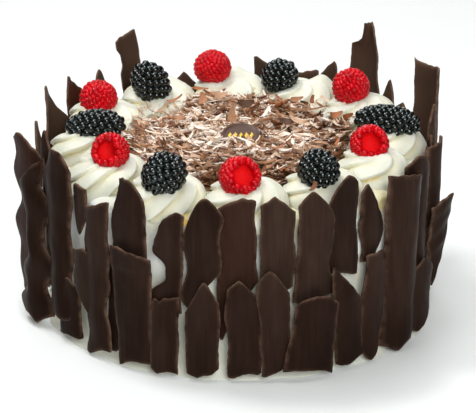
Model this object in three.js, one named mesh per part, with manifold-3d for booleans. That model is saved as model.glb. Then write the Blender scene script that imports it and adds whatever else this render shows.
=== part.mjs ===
// Black forest cake: a round cream cake fenced by upright shards of dark chocolate and topped
// with piped cream rosettes, berries, a heap of chocolate shavings and a chocolate badge.
// Millimetres, +Z up, the front faces -Y. The origin is the centre of the flat underside.
// Azimuths are degrees from the front (-Y), growing towards +X.

import * as THREE from 'three';
import { mergeVertices } from 'three/addons/utils/BufferGeometryUtils.js';
import Module from 'manifold-3d';

const wasm = await Module();
wasm.setup();

// Driving dimensions
const CAKE_RADIUS = 104;
const CAKE_HEIGHT = 88;
const CAKE_EDGE = 7;
const CAKE_SEGMENTS = 40;
const GAP = 0.4;

// Rosettes: a ring of twelve, each a twisted star that narrows to a tip
const ROSETTE_COUNT = 12;
const ROSETTE_FIRST = 3;
const ROSETTE_RING = 82;
const ROSETTE_HEIGHT = 13.5;
const ROSETTE_RADIAL = 22;
const ROSETTE_TANGENTIAL = 20.3;
const ROSETTE_RIDGES = 6;
const ROSETTE_RIDGE_DEPTH = 0.14;
const ROSETTE_TWIST = 1.1;
const ROSETTE_SEGMENTS = 24;
// Radius and height of the rosette's outline, as shares of the whole
const ROSETTE_OUTLINE = [[0, 0], [0.88, 0], [1, 0.24], [0.86, 0.58], [0.5, 0.9], [0, 1]];

// Berries: at (azimuth), ring (distance from the axis), high (centre), wide and long (diameters),
// lean and face (how far the tip is turned from upright, and the azimuth that it leans to)
const BERRY_SEGMENTS = 12;
const BERRY_ROWS = 8;
const BERRY_KNOB = 0.05;
const BERRY_SEAT = 1.05;
const CAVITY_DEPTH = 0.5;
const CAVITY_START = 0.93;
const RED_BERRIES = [
  { at: 1, ring: 85, high: 105.8, wide: 22.5, long: 20.5, lean: 120, face: 206 },
  { at: 65, ring: 78.5, high: 104.8, wide: 21.5, long: 20.5, lean: 120, face: 191 },
  { at: 127.2, ring: 81, high: 108.8, wide: 21.5, long: 22.5, lean: 15, face: 0 },
  { at: 189.7, ring: 86, high: 108.8, wide: 21.8, long: 20.4, lean: 10, face: 0 },
  { at: 244.3, ring: 87, high: 106.4, wide: 21.6, long: 20, lean: 20, face: 0 },
  { at: 304.8, ring: 82.4, high: 105.7, wide: 20.8, long: 20, lean: 118, face: 160 },
];
const DARK_BERRIES = [
  { at: 30.3, ring: 85, high: 105, wide: 22.4, long: 24, lean: 25, face: 330 },
  { at: 91, ring: 83, high: 105, wide: 19.5, long: 37.5, lean: 97, face: 90 },
  { at: 161.7, ring: 78, high: 106.8, wide: 20.5, long: 22.5, lean: 60, face: 70 },
  { at: 218.7, ring: 79, high: 107, wide: 21.4, long: 28.5, lean: 30, face: 300 },
  { at: 274, ring: 78, high: 105.2, wide: 19, long: 33.5, lean: 86, face: 90 },
  { at: 334.5, ring: 88.7, high: 105.2, wide: 23.5, long: 26, lean: 35, face: 60 },
];

// Heap of shavings: a low mound whose rim fills the bays between the rosettes
const HEAP_RADIUS = 60;
const HEAP_BAY = 3;
const HEAP_HEIGHT = 8;
const HEAP_UNEVEN = 0.13;
const HEAP_SEGMENTS = 36;
// Radius and height of the heap's outline, as shares of the whole
const HEAP_OUTLINE = [[0, 0], [0.97, 0], [1, 0.3], [0.82, 0.74], [0.45, 0.96], [0, 1]];

// Badge: a thin round of chocolate lying in the shavings, tipped towards the front
const BADGE_RADIUS = 11.5;
const BADGE_THICKNESS = 3;
const BADGE_BEVEL = 0.7;
const BADGE_TILT = 18;
const BADGE_PLACE = [1.5, 1, 97];
const BADGE_SEGMENTS = 24;
const BADGE_SEAT = 1.05;

// Chocolate shards: curved slips that stand on end round the cream
const SHARD_WALL = 105;
const SHARD_THICKNESS = 1.6;
const SHARD_COLUMNS = 3;
const SHARD_ROWS = 4;
// Each row holds: azimuth, width, foot height, tip height, distance out from the wall, yaw, outward
// lean, sideways tilt, curl depth, tip cut, toe cut, taper. A cut is the peak's place across the
// slip (-1 left to 1 right, seen from outside), how far the far corner falls, and the fall's power.
const SHARDS = [
  [0, 20.5, 20, 103, 2.2, 0, 0.5, 0, 0.8, [0.35, 6, 1.5], [-0.75, 36, 0.8], 0.05],
  [11, 18, 50, 104.5, 5.4, 2, 1, 0, 1, [-0.2, 10, 1.3], [0.4, 5, 1], -0.05],
  [21.9, 20.5, 41.5, 105, 4.8, 0, 1, 1.5, 1.2, [-0.25, 18, 1.4], [-0.6, 4, 1], 0.02],
  [30.4, 20.5, 51.5, 109, 2.2, 0, 1, 0, 1, [0.35, 22, 2], [0.9, 5, 1], 0],
  [41.5, 14.5, 56, 102, 2.4, 2, 0.5, 0, 1.5, [-0.6, 20, 0.9], [0, 1, 1], -0.1],
  [53, 25, 0.5, 102, 7.4, 8, 1, 2, 4.5, [-0.6, 6, 2], [-0.4, 5, 1], 0],
  [63, 19, 40, 106, 4.5, 14, 1, 0, 2, [-0.2, 16, 2], [0, 3, 1], 0],
  [81, 16, 50, 102, 5.5, 20, 1, 0, 2, [0.6, 3, 1], [0, 2, 1], 0],
  [96, 8, 70, 112.5, 3.6, 20, 2, 0, 1, [0, 16, 2], [0, 10, 2], 0],
  [103.8, 22, 30, 133.5, 7, -16, 0, 0, 3.2, [1, 4, 0.3], [0, 4, 1], 0],
  [117, 20, 10, 99, 2.5, 0, 0, 0, 1, [0.3, 10, 1], [0, 3, 1], 0],
  [127.5, 12, 30, 108, 4.5, 0, 1, 0, 1, [0.1, 18, 1], [0, 3, 1], 0],
  [136.8, 20, 30, 137.5, 2.8, 0, 2, 0, 2, [-0.4, 12, 0.8], [0, 6, 1], 0.2],
  [150, 12, 20, 110, 4.8, 0, 0, 0, 1, [-0.4, 9, 1], [0, 3, 1], 0],
  [158, 17, 10, 103.5, 2.4, 0, 0, 0, 1, [-0.8, 4, 1], [0, 3, 1], 0],
  [171, 15, 15, 108.5, 4.6, 0, 0, 0, 1, [0.9, 10, 1], [0, 3, 1], 0],
  [180, 18, 5, 102, 2.4, 0, 0, 0, 1, [0, 14, 1], [0, 3, 1], 0],
  [196, 18, 8, 100, 4.6, 0, 0, 0, 1, [0.2, 12, 1], [0, 3, 1], 0],
  [206.5, 18, 5, 97, 2.4, 0, 0, 0, 1, [-0.3, 8, 1], [0, 3, 1], 0],
  [213.8, 13, 45, 130, 4.6, 0, 1, 10, 1.5, [-1, 6, 1], [0, 6, 1], 0],
  [227.8, 14, 15, 112, 2.4, 0, 0, 0, 1, [0, 20, 1.5], [0, 3, 1], 0],
  [238.5, 17, 20, 115, 4.6, 0, 0, 0, 1, [0.9, 14, 1.1], [0, 3, 1], 0],
  [250, 22, 12, 118, 4.5, 10, 1, 0, 2, [0.75, 26, 0.8], [0, 3, 1], 0],
  [263, 10, 60, 102, 7, 10, 1, 0, 1, [0, 20, 1.2], [0, 5, 1], 0],
  [276, 25, 3, 103, 10, -32, 1.5, 0, 1, [-0.3, 9, 1.1], [-0.4, 5, 1], 0],
  [288, 19.5, 2, 100, 13, -25, 0.5, 0, 3, [1, 18, 1.2], [0.2, 4, 1], 0.08],
  [288.5, 10, 60, 113.5, 4.6, -25, 0, 0, 1.2, [0.1, 24, 1.6], [0, 5, 1], 0],
  [300.5, 19, 12, 112, 7, -12, 1, 0, 2, [0.1, 20, 2], [0.2, 9, 2], 0],
  [308, 11, 66, 95, 2.2, 0, 0, 0, 1, [0, 3, 1], [0.2, 16, 1.2], 0],
  [317.2, 16.5, 1, 92, 5.6, -2, 0, 0, 1.2, [0.9, 7, 1], [-0.6, 4, 1], 0],
  [327.7, 21, 50, 107, 2.4, 0, 1, 0, 1, [-0.4, 13, 3.2], [0, 4, 1], 0.12],
  [340.4, 15.5, 36, 94, 4.6, 0, 0, 0, 0.8, [0.5, 6, 1], [0.9, 5, 1], -0.05],
  [350.4, 20.5, 38, 103.5, 4.6, 0, 0.5, 0, 1, [0.15, 22, 1.7], [-0.75, 22, 0.7], 0],
];

const finish = (color, roughness) =>
  new THREE.MeshStandardMaterial({ color, roughness, metalness: 0, flatShading: true });
const CREAM = finish(0xf6f0de, 0.55);
const DARK_CHOCOLATE = finish(0x38251f, 0.45);
const SHAVINGS = finish(0xa57a5c, 0.7);
const RED_BERRY = finish(0xc8102e, 0.35);
const DARK_BERRY = finish(0x15171d, 0.3);
const BADGE = finish(0x33241f, 0.35);

const radians = THREE.MathUtils.degToRad;
const { smoothstep } = THREE.MathUtils;

// Unit vector that points outwards at an azimuth
function outward(at) {
  const a = radians(at);
  return new THREE.Vector3(Math.sin(a), -Math.cos(a), 0);
}

// Moves every corner of a geometry by a function of its place
function shape(geometry, move) {
  const places = geometry.getAttribute('position');
  const point = new THREE.Vector3();
  for (let i = 0; i < places.count; i += 1) {
    point.fromBufferAttribute(places, i);
    move(point);
    places.setXYZ(i, point.x, point.y, point.z);
  }
  return geometry;
}

// Solid of revolution about +Z from an outline of [radius share, height share] pairs
function turned(outline, radius, height, segments) {
  const points = outline.map(([r, z]) => new THREE.Vector2(r * radius, z * height));
  return new THREE.LatheGeometry(points, segments).rotateX(Math.PI / 2);
}

// Closed solid of a geometry: corners shared, triangles without area dropped
function solid(geometry) {
  const bare = geometry.clone();
  bare.deleteAttribute('normal');
  bare.deleteAttribute('uv');
  const merged = mergeVertices(bare, 1e-4);
  const corners = merged.getIndex().array;
  const kept = [];
  for (let i = 0; i < corners.length; i += 3) {
    const [a, b, c] = corners.slice(i, i + 3);
    if (a !== b && b !== c && c !== a) {
      kept.push(a, b, c);
    }
  }
  return new wasm.Manifold(new wasm.Mesh({
    numProp: 3,
    vertProperties: new Float32Array(merged.getAttribute('position').array),
    triVerts: new Uint32Array(kept),
  }));
}

// Named mesh of a solid
function piece(name, body, material) {
  const { vertProperties, triVerts } = body.getMesh();
  const geometry = new THREE.BufferGeometry();
  geometry.setAttribute('position', new THREE.BufferAttribute(vertProperties, 3));
  geometry.setIndex(new THREE.BufferAttribute(triVerts, 1));
  const mesh = new THREE.Mesh(geometry, material);
  mesh.name = name;
  return mesh;
}

const numbered = (stem, index) => `${stem}_${String(index + 1).padStart(2, '0')}`;

// The cake: an upright cylinder with a rounded top edge
function cakeBody() {
  const outline = [[0, 0], [CAKE_RADIUS, 0]];
  const EDGE_STEPS = 3;
  for (let i = 0; i <= EDGE_STEPS; i += 1) {
    const a = (i / EDGE_STEPS) * (Math.PI / 2);
    outline.push([
      CAKE_RADIUS - CAKE_EDGE * (1 - Math.cos(a)),
      CAKE_HEIGHT - CAKE_EDGE * (1 - Math.sin(a)),
    ]);
  }
  outline.push([0, CAKE_HEIGHT]);
  return solid(turned(outline, 1, 1, CAKE_SEGMENTS));
}

// A rosette: its star section turns with height, so the ridges climb as a swirl
function rosette(at) {
  const geometry = turned(ROSETTE_OUTLINE, 1, 1, ROSETTE_SEGMENTS);
  shape(geometry, (p) => {
    const turn = Math.atan2(p.y, p.x) - ROSETTE_TWIST * p.z;
    const valley = 0.5 - 0.5 * Math.cos(ROSETTE_RIDGES * turn);
    const r = Math.hypot(p.x, p.y) * (1 - ROSETTE_RIDGE_DEPTH * valley);
    const a = Math.atan2(p.y, p.x);
    p.set(r * Math.cos(a) * ROSETTE_RADIAL, r * Math.sin(a) * ROSETTE_TANGENTIAL, p.z * ROSETTE_HEIGHT);
  });
  const centre = outward(at).multiplyScalar(ROSETTE_RING);
  geometry.rotateZ(radians(at - 90));
  geometry.translate(centre.x, centre.y, CAKE_HEIGHT + GAP);
  return geometry;
}

// A berry: an egg of knobs, with a hollow at the stalk end of a red one
function berry({ at, ring, high, wide, long, lean, face }, hollow, grow = 1) {
  const geometry = new THREE.SphereGeometry(1, BERRY_SEGMENTS, BERRY_ROWS).rotateX(Math.PI / 2);
  const tip = outward(face).multiplyScalar(Math.sin(radians(lean)));
  tip.z = Math.cos(radians(lean));
  const turn = new THREE.Quaternion().setFromUnitVectors(new THREE.Vector3(0, 0, 1), tip);
  const centre = outward(at).multiplyScalar(ring);
  centre.z = high;
  return shape(geometry, (p) => {
    const across = Math.atan2(p.y, p.x);
    const down = Math.acos(THREE.MathUtils.clamp(p.z, -1, 1));
    const atPole = Math.hypot(p.x, p.y) < 1e-6;
    const knob = Math.cos((BERRY_SEGMENTS / 2) * across) * Math.cos(BERRY_ROWS * down);
    const dent = hollow ? CAVITY_DEPTH * smoothstep(-p.z, CAVITY_START, 1) : 0;
    p.multiplyScalar((1 + (atPole ? 0 : BERRY_KNOB * knob)) * (1 - dent) * grow);
    p.multiply(new THREE.Vector3(wide / 2, wide / 2, long / 2));
    p.applyQuaternion(turn).add(centre);
  });
}

// The badge: a bevelled disc, lying tipped towards the front
function badge(grow = 1) {
  const half = (BADGE_THICKNESS / 2) * (grow + (grow - 1) * 4);
  const wide = BADGE_RADIUS * grow;
  const outline = [
    [0, -half], [wide - BADGE_BEVEL, -half], [wide, BADGE_BEVEL - half],
    [wide, half - BADGE_BEVEL], [wide - BADGE_BEVEL, half], [0, half],
  ];
  return turned(outline, 1, 1, BADGE_SEGMENTS).rotateX(radians(BADGE_TILT)).translate(...BADGE_PLACE);
}

// The heap of shavings: bays reach out between the rosettes and the top rolls up and down
function shavingsHeap() {
  const geometry = turned(HEAP_OUTLINE, 1, 1, HEAP_SEGMENTS);
  return shape(geometry, (p) => {
    const r = Math.hypot(p.x, p.y);
    const a = Math.atan2(p.y, p.x);
    const fromRosette = ROSETTE_COUNT * (a + Math.PI / 2 - radians(ROSETTE_FIRST));
    const reach = HEAP_RADIUS - HEAP_BAY * Math.cos(fromRosette);
    const roll = HEAP_UNEVEN * r * (Math.sin(5 * a + 1) + Math.sin(7 * a + 6 * r) * 0.7);
    const high = CAKE_HEIGHT + GAP + HEAP_HEIGHT * p.z * (1 + roll);
    p.set(r * reach * Math.cos(a), r * reach * Math.sin(a), high);
  });
}

// A shard: a box bent to the curl, cut at tip and toe, leaned, yawed and set against the wall
function shard([at, wide, foot, tip, out, yaw, lean, tilt, curl, tipCut, toeCut, taper]) {
  const drop = ([peak, depth, power], u) => depth * (Math.abs(u - peak) / (1 + Math.abs(peak))) ** power;
  const normal = outward(at - yaw);
  const along = outward(at - yaw + 90);
  const stand = outward(at).multiplyScalar(SHARD_WALL + out);
  const middle = (foot + tip) / 2;
  const geometry = new THREE.BoxGeometry(2, SHARD_THICKNESS, 1, SHARD_COLUMNS, 1, SHARD_ROWS);
  return shape(geometry, (p) => {
    const u = p.x;
    const inset = p.y + SHARD_THICKNESS / 2;
    const low = foot + drop(toeCut, u);
    const high = low + (tip - drop(tipCut, u) - low) * (p.z + 0.5);
    const share = (high - middle) / (tip - foot);
    const side = (u * wide * (1 - 2 * taper * share)) / 2 + Math.tan(radians(tilt)) * (high - middle);
    const forth = -curl * u * u + Math.tan(radians(lean)) * (high - foot) - inset;
    p.copy(stand).addScaledVector(along, side).addScaledVector(normal, forth);
    p.z = high;
  });
}

const cake = new THREE.Group();
cake.add(piece('cake_body', cakeBody(), CREAM));

const named = (rows, stem, hollow, material) =>
  rows.map((row, i) => ({ row, hollow, name: numbered(stem, i), material }));
const berryRows = [
  ...named(RED_BERRIES, 'red_berry', true, RED_BERRY),
  ...named(DARK_BERRIES, 'dark_berry', false, DARK_BERRY),
];
for (const { row, hollow, name, material } of berryRows) {
  cake.add(piece(name, solid(berry(row, hollow)), material));
}

// Every berry is pressed into the cream, so each rosette has the seats of the berries cut out of it
const seats = berryRows.map(({ row, hollow }) => solid(berry(row, hollow, BERRY_SEAT)));
for (let i = 0; i < ROSETTE_COUNT; i += 1) {
  let swirl = solid(rosette(ROSETTE_FIRST + (i * 360) / ROSETTE_COUNT));
  for (const seat of seats) {
    swirl = swirl.subtract(seat);
  }
  cake.add(piece(numbered('cream_rosette', i), swirl, CREAM));
}

cake.add(piece('badge', solid(badge()), BADGE));
cake.add(piece('shavings_heap', solid(shavingsHeap()).subtract(solid(badge(BADGE_SEAT))), SHAVINGS));

SHARDS.forEach((row, i) => {
  cake.add(piece(numbered('shard', i), solid(shard(row)), DARK_CHOCOLATE));
});

export default cake;
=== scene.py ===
"""Looks of a black forest cake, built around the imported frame.

Lengths are millimetres until a mesh is made, and metres in the mesh, in the frame's own axes: +Z up,
the front faces -Y. Azimuths are degrees from the front, growing towards +X. Every new piece is a surface
worked out as whole arrays: a function of two parameters on a grid, or many small grids at once.
"""

import bpy
import numpy as np
from mathutils import Matrix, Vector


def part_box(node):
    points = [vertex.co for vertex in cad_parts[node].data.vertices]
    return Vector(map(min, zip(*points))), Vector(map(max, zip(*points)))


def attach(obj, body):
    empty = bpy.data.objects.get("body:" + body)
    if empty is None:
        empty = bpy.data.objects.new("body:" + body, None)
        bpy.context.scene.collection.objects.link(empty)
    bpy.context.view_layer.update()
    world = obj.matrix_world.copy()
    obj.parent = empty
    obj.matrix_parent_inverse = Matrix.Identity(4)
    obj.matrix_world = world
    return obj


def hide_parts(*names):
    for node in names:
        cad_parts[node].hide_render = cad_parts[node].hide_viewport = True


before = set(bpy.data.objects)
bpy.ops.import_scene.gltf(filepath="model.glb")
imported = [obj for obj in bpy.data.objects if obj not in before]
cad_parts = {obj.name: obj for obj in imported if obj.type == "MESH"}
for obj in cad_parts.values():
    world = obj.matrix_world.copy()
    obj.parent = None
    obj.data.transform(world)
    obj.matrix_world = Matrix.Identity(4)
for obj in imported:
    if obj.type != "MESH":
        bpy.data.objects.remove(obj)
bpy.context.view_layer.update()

MM = 0.001
GOLDEN_TURN = np.pi * (3 - np.sqrt(5))

# Sizes taken from the frame
CAKE_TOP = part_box("cake_body")[1][2] / MM
CAKE_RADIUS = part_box("cake_body")[1][0] / MM

# Cream coat
COAT_EDGE = 7
COAT_COLUMNS = 440
COAT_ROWS = 64
COAT_INSET = 1.6
COAT_FOOT = 6

# Rosettes
ROSETTE_COUNT = 12
ROSETTE_FIRST = 3
ROSETTE_RING = 82
ROSETTE_RADIUS = 20.8
ROSETTE_REACH = 1.05
ROSETTE_WAIST = 2.5
ROSETTE_DOME = 11.5
ROSETTE_SKIRT = -0.95
ROSETTE_RIDGES = 6
ROSETTE_RIDGE = 3.6
ROSETTE_SWEEP = 2.5
ROSETTE_DROOP = 6
ROSETTE_LIFT = 6.5
ROSETTE_ROWS = 66
ROSETTE_COLUMNS = 160
ROSETTE_SEED = 100
# Shares of a fold on its slow side and on its steep side
FOLD_RISE = 0.82
FOLD_FALL = 0.18
# Dents in the swirls: middle, spread and depth
DENTS = [(38, 88, 10, 7)]

# Berries: node, diameter, length, how far the tip leans from upright, azimuth it leans to
BERRIES = [
    ("red_berry_01", 22.5, 20.5, 120, 206),
    ("red_berry_02", 21.5, 20.5, 120, 191),
    ("red_berry_03", 21.5, 22.5, 15, 0),
    ("red_berry_04", 21.8, 20.4, 10, 0),
    ("red_berry_05", 21.6, 20, 20, 0),
    ("red_berry_06", 20.8, 20, 118, 160),
    ("dark_berry_01", 22.4, 24, 25, 330),
    ("dark_berry_02", 19.5, 37.5, 97, 90),
    ("dark_berry_03", 20.5, 22.5, 60, 70),
    ("dark_berry_04", 21.4, 28.5, 30, 300),
    ("dark_berry_05", 19, 33.5, 86, 90),
    ("dark_berry_06", 23.5, 26, 35, 60),
]
RED_BEAD = 1.6
DARK_BEAD = 2.6
RED_SWELL = 1.15
BEAD_COLUMNS = 10
BEAD_ROWS = 7
# A bead is drawn out along its own direction; it stands proud of the egg and takes up an area of it, both
# counted in its radius; the core lies under the egg by so many radii
BEAD_STRETCH = 0.22
BEAD_PROUD = 0.17
BEAD_AREA = 3.05
CORE_DEPTH = 1.25
# Polar angle of a hollow berry's rim and of its last beads
HOLLOW_RIM = 127
HOLLOW_LAST_BEAD = 133
HOLLOW_DEPTH = 7
# How far a red berry sinks into the cream
SEAT_SINK = 1.2
BERRY_SEED = 500

# Heap of shavings
HEAP_RADIUS = 60
HEAP_BAY = 3
HEAP_CORE_HEIGHT = 5
HEAP_CORE_INSET = 4
HEAP_BANK = 3.5
# Banks against the swirls: middle, spread and height
HEAP_BANKS = [(-14, 55, 9, 7), (10, 54, 8, 4), (32, 51, 9, 6), (58, 25, 9, 6), (-53, 25, 9, 5)]
FLAKE_HALF = 0.25
FLAKE_SHARP = 40
# Dusted patches: middle and spread
DUSTED = [(-29, 31, 5), (-22, 16, 5), (-13, -8, 6), (-42, 8, 6), (12, -22, 5), (34, -12, 6)]
# Big flakes: place (x, y, z), length, width, spin, pitch, roll, bend, tone, amber, taper
PROPPED = [
    (-3, 24.4, 102, 12, 4, 80, 70, 0, 0.3, 0.95, 0, 0.85),
    (4.9, 39.5, 102.5, 10, 5, 0, 0, 40, 0.6, -0.1, 0, 0.2),
    (4.9, 38.5, 101.5, 11, 1.4, 0, 0, 30, 0.9, 0.75, 0, 0.2),
    (-20.8, 56.8, 105.5, 11, 1.8, -25, 4, 40, 0.4, 0.35, 0.8, 0.3),
    (-19.4, 45, 104, 7, 4, 90, 50, 0, 0.2, 0.3, 0.5, 0.5),
    (-9.2, 48, 104.5, 8, 4, 5, 4, 40, 0.5, 0.26, 0.15, 0.4),
    (-36, 48, 102, 12, 2, 30, 10, 20, 0.9, 0.4, 0.6, 0.2),
    (-45, 36, 101, 20, 1.3, 25, 0, 0, 1.5, 0.45, 0.6, 0),
    (-30.7, 11.8, 103, 10, 4, -60, 14, 25, 0.2, 0.4, 0.6, 0.6),
    (15.5, 22.7, 102.5, 10, 2, 60, 25, 0, 0.9, 0.8, 0, 0.2),
    (33.8, 44, 103.5, 8, 3, 10, 5, 40, 0.7, 0.3, 0.2, 0.3),
    (42.3, 42, 104, 6, 2.4, 80, 40, 0, 0.5, 0.4, 0.3, 0.3),
    (39.7, 27.7, 103.5, 22, 2, 10, 0, 20, 0.4, 0.55, 0, 0.1),
    (34.7, 6.2, 104, 15, 3, -32, 0, 25, 0.9, 0.62, 0.05, 0.1),
    (28, 10, 102.5, 10, 4.5, -20, 5, 30, 0.7, 0, 0, 0.2),
    (55, 19, 103, 10, 3.6, 20, 4, 50, 1.2, 0.42, 0.8, 0.3),
    (61, 16.5, 103, 9, 3, 35, 8, 60, 1.2, 0.5, 0.6, 0.3),
    (53.6, -22.9, 101.5, 11, 2, 70, 0, 15, 0.9, 0.4, 0.7, 0.2),
    (22, -30, 102, 11, 2, 40, 0, 10, 0.6, 0.4, 0.6, 0.2),
    (40, -90.5, 102.5, 6.5, 2.6, 65, 30, 0, 0.3, 0.5, 0.3, 0.2),
]

# Badge
BADGE_RADIUS = 11
BADGE_THICKNESS = 3
BADGE_TILT = 18
BADGE_PLACE = (2, 0.4, 96.8)
BADGE_FACE_DEPTH = 0.6
BADGE_SHARP = 50
LOZENGE_COUNT = 5
LOZENGE_SPREAD = 6
LOZENGE_HALF_WIDTH = 1.35
LOZENGE_HALF_HEIGHT = 3.1

# Chocolate shards
SHARD_WALL = 105
SHARD_THICKNESS = 1.6
SHARD_RIM = 0.55
# Width of the painted highlight along a shard's broken rim
SHARD_HIGHLIGHT_RIM = 0.45
SHARD_COLUMNS = 16
SHARD_ROWS = 46
INNER_SEED = 1000
OUTER_SEED = 3000
SHARD_SEED_STEP = 20
# How much deeper than its row says a shard's curl is
CURL_GAIN = 1.8
# Outer course round the back: first azimuth, end and step
BACK_COURSE = (100, 262, 12.0)
# Each row: azimuth, width, foot, tip, distance out from the wall, yaw, outward lean, sideways tilt, curl,
# tip cut, toe cut, taper. A cut is the peak's place across the slip (-1 left to 1 right, seen from
# outside), how far the far corner falls, and the power of the fall.
INNER_SHARDS = [
    (0, 20.5, 20, 103, 2.2, 0, 0.5, 0, 0.8, (0.35, 6, 1.5), (-0.75, 36, 0.8), 0.05),
    (11, 18, 50, 104.5, 5.4, 2, 1, 0, 1, (-0.2, 10, 1.3), (0.4, 5, 1), -0.05),
    (21.9, 20.5, 41.5, 105, 4.8, 0, 1, 1.5, 1.2, (-0.25, 18, 1.4), (-0.6, 4, 1), 0.02),
    (30.4, 21, 51.5, 109, 2.2, 0, 1, 0, 1, (0.35, 22, 2), (0.9, 5, 1), 0),
    (41.5, 14.5, 56, 102, 2.4, 2, 0.5, 0, 1.5, (-0.6, 20, 0.9), (0, 1, 1), -0.1),
    (53, 25, 0.5, 102, 7.4, 8, 1, 2, 4.5, (-0.6, 6, 2), (-0.4, 5, 1), 0),
    (63, 19, 40, 106, 4.5, 14, 1, 0, 2, (-0.2, 16, 2), (0, 3, 1), 0),
    (81, 16, 50, 102, 5.5, 20, 1, 0, 2, (0.6, 3, 1), (0, 2, 1), 0),
    (96, 8, 70, 112.5, 3.6, 20, 2, 0, 1, (0, 16, 2), (0, 10, 2), 0),
    (103.8, 22, 30, 133.5, 7, -16, 0, 0, 3.2, (1, 3.5, 0.2), (0, 4, 1), 0),
    (117, 20, 10, 99, 2.5, 0, 0, 0, 1, (0.3, 10, 1), (0, 3, 1), 0),
    (127.5, 12, 30, 108, 4.5, 0, 1, 0, 1, (0.1, 18, 1), (0, 3, 1), 0),
    (136.8, 23.5, 30, 137.5, 2.8, 0, 2, 0, 2, (0.8, 3, 3), (0, 6, 1), 0.22),
    (150, 12, 20, 110, 4.8, 0, 0, 0, 1, (-0.4, 9, 1), (0, 3, 1), 0),
    (158, 17, 10, 103.5, 2.4, 0, 0, 0, 1, (-0.8, 4, 1), (0, 3, 1), 0),
    (171, 15, 15, 108.5, 4.6, 0, 0, 0, 1, (0.9, 10, 1), (0, 3, 1), 0),
    (180, 18, 5, 102, 2.4, 0, 0, 0, 1, (0, 14, 1), (0, 3, 1), 0),
    (196, 18, 8, 100, 4.6, 0, 0, 0, 1, (0.2, 12, 1), (0, 3, 1), 0),
    (206.5, 18, 5, 97, 2.4, 0, 0, 0, 1, (-0.3, 8, 1), (0, 3, 1), 0),
    (213.8, 14, 45, 130, 4.6, 0, 1, 8, 1.5, (-1, 6, 1), (0, 6, 1), 0),
    (227.8, 14, 15, 112, 2.4, 0, 0, 0, 1, (0, 20, 1.5), (0, 3, 1), 0),
    (238.5, 17, 20, 115, 4.6, 0, 0, 0, 1, (0.9, 14, 1.1), (0, 3, 1), 0),
    (250, 22, 12, 118, 4.5, 10, 1, 0, 2, (0.75, 26, 0.8), (0, 3, 1), 0),
    (263, 10, 60, 102, 7, 10, 1, 0, 1, (0, 20, 1.2), (0, 5, 1), 0),
    (276, 25, 3, 103, 10, -32, 1.5, 0, 1, (-0.3, 9, 1.1), (-0.4, 5, 1), 0),
    (288, 20, 2, 100, 13, -25, 0.5, 0, 3, (1, 20, 1.1), (0.2, 4, 1), 0.08),
    (288.5, 10, 60, 113.5, 4.6, -25, 0, 0, 1.2, (0.1, 24, 1.6), (0, 5, 1), 0),
    (300.5, 19, 12, 112, 7, -12, 1, 0, 2, (0.1, 20, 2), (0.2, 9, 2), 0),
    (308, 11, 66, 95, 2.2, 0, 0, 0, 1, (0, 3, 1), (0.2, 16, 1.2), 0),
    (317.2, 16.5, 1, 92, 5.6, -2, 0, 0, 1.2, (0.9, 7, 1), (-0.6, 4, 1), 0),
    (327.7, 21.5, 50, 107, 2.4, 0, 1, 0, 1, (-0.4, 12, 3.6), (0, 4, 1), 0.1),
    (340, 18.5, 36, 94, 4.6, 0, 0, 0, 0.8, (0.5, 6, 1), (0.9, 5, 1), -0.06),
    (350.4, 20.5, 38, 103.5, 4.6, 0, 0.5, 0, 1, (0.15, 22, 1.7), (-0.75, 22, 0.7), 0),
]
OUTER_SHARDS = [
    (2, 19, 2.5, 59, 7, 0, 1, 0, 0.5, (-0.35, 14, 1.2), (-0.8, 2, 1), -0.1),
    (10.2, 17, 1.5, 65, 8.2, -2, 1, -2, 0.8, (-0.3, 14, 1.2), (-0.8, 6, 1), -0.02),
    (20.2, 26, 0.5, 49, 10.6, 0, 2, 8, 1.5, (-0.1, 7, 2), (0.9, 6, 1), 0.1),
    (31.5, 18, 2, 62, 7.5, 0, 1, -3, 0.8, (-0.9, 22, 1), (-0.1, 3, 1), 0),
    (40.2, 15, 0.5, 64.5, 7, 2, 1, 0, 1.2, (0.3, 1.5, 1), (-0.1, 20, 2), 0),
    (63, 18, 1, 46, 8, 14, 1, 0, 1.5, (0, 8, 2), (-0.5, 6, 1), 0),
    (75, 15, 20, 74, 8, 25, 5, 2, 1, (0.5, 5, 1), (-0.6, 24, 1), -0.25),
    (78, 5, 60, 100, 1, 30, 0, 0, 0, (0, 20, 1.3), (0, 8, 1), 0),
    (350.6, 18, 1, 58.5, 7.5, 0, 1, 0, 0.8, (0.15, 19, 1.2), (-0.9, 4.5, 1), 0),
    (340, 15.5, 1, 47.5, 7, 0, 0.5, 2, 0.6, (0.9, 4, 1), (0, 1, 1), 0),
    (330.4, 22.5, 1, 70, 6.5, 0, 0.5, -2.4, 0.8, (-0.6, 4, 1), (-0.8, 3, 1), -0.08),
    (311.8, 14, 20, 62, 6, -8, 1, 0, 1, (0.2, 4, 1), (0.8, 20, 1), 0),
    (303.5, 18, 0.5, 40, 4.5, -10, 1, 0, 1, (0, 8, 1), (-0.5, 4, 1), 0),
    # Painted shade: a dark shard that fills a shaded gap between the front shards.
    (323, 12, 2.5, 62, 1.8, 0, 0, 0, 0.5, (0, 4, 1), (0, 3, 1), 0),
    (75, 14, 1, 44, 2.2, 8, 0.5, 0, 0.8, (0.4, 9, 1.2), (-0.3, 4, 1), 0),
    (88, 18, 1, 58, 2.4, 0, 0.5, 1, 1, (-0.3, 12, 1.2), (0.4, 4, 1), 0.05),
    (90, 15, 46, 97, 2.2, 0, 0.5, 0, 1, (0.3, 8, 1.2), (-0.4, 6, 1), 0),
    (264.5, 17, 1, 62, 2.4, 0, 0.5, 0, 1, (0.2, 11, 1.3), (-0.4, 4, 1), 0),
]
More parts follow.
